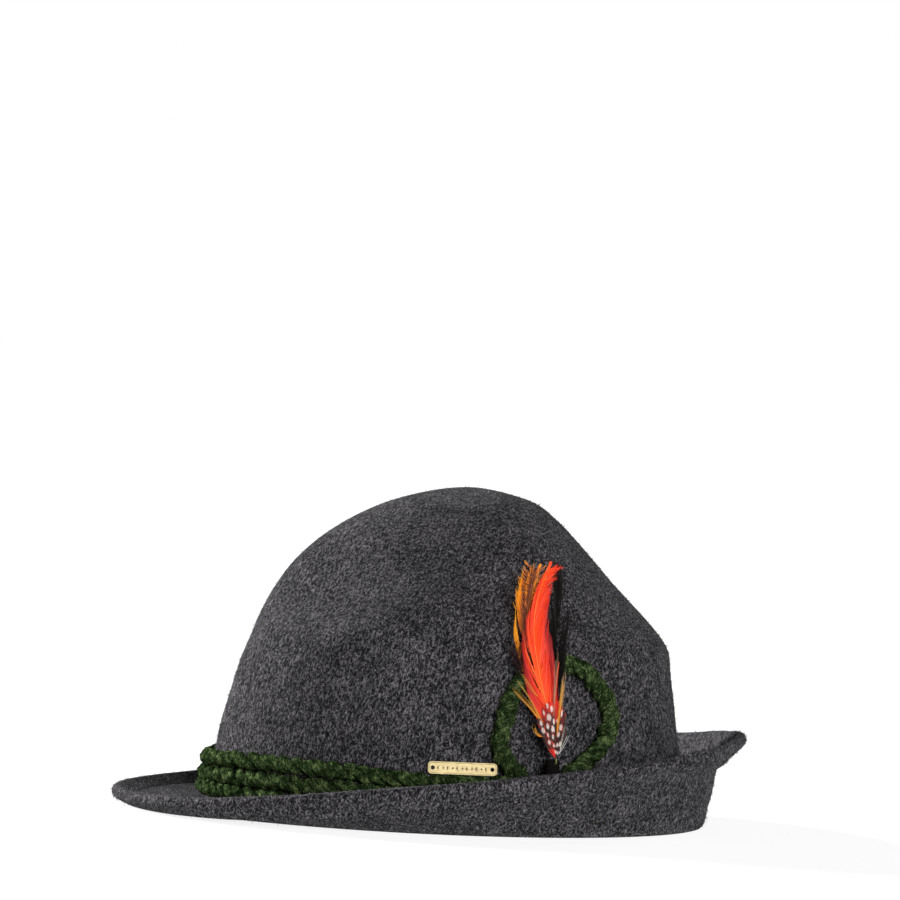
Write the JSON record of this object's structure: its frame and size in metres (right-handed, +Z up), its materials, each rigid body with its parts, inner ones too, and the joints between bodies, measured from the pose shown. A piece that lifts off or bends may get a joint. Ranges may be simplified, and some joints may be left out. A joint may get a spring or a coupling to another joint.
{
  "type": "tyrolean hat",
  "caption": "Grey wool felt tyrolean hat: pinched crown, brim turned up at the back, twisted cord band with a knotted loop, small brass plate and a feather tuft",
  "frame": {"origin": "under the middle of the brim, halfway between front and back and between left and right, on the plane that the hat stands on", "axes": "+Z up, the wearer faces -Y, the wearer's left with the feathers is +X; the long way from front to back is along Y"},
  "size_m": [0.2512, 0.2799, 0.146],
  "materials": {
    "felt": "dark grey melange wool felt with short raised fibres, matt",
    "cord": "dark green twisted wool cord, fuzzy, matt",
    "brass": "pale brass, satin, with a plain raised border",
    "binding": "dark wound thread",
    "feather_black": "black feather, soft sheen",
    "feather_yellow": "orange yellow hackle with darker middle",
    "feather_red": "bright orange red hackle with fine barbs",
    "feather_spotted": "dark brown feather with round white spots"
  },
  "bodies": {
    "root": {"felt_body": "felt", "cord_row_low": "cord", "cord_row_mid": "cord", "cord_row_top": "cord", "cord_loop": "cord", "name_plate": "brass", "feather_binding": "binding", "feather_black": "feather_black", "feather_yellow": "feather_yellow", "feather_red": "feather_red", "feather_spotted": "feather_spotted"}
  },
  "joints": []
}
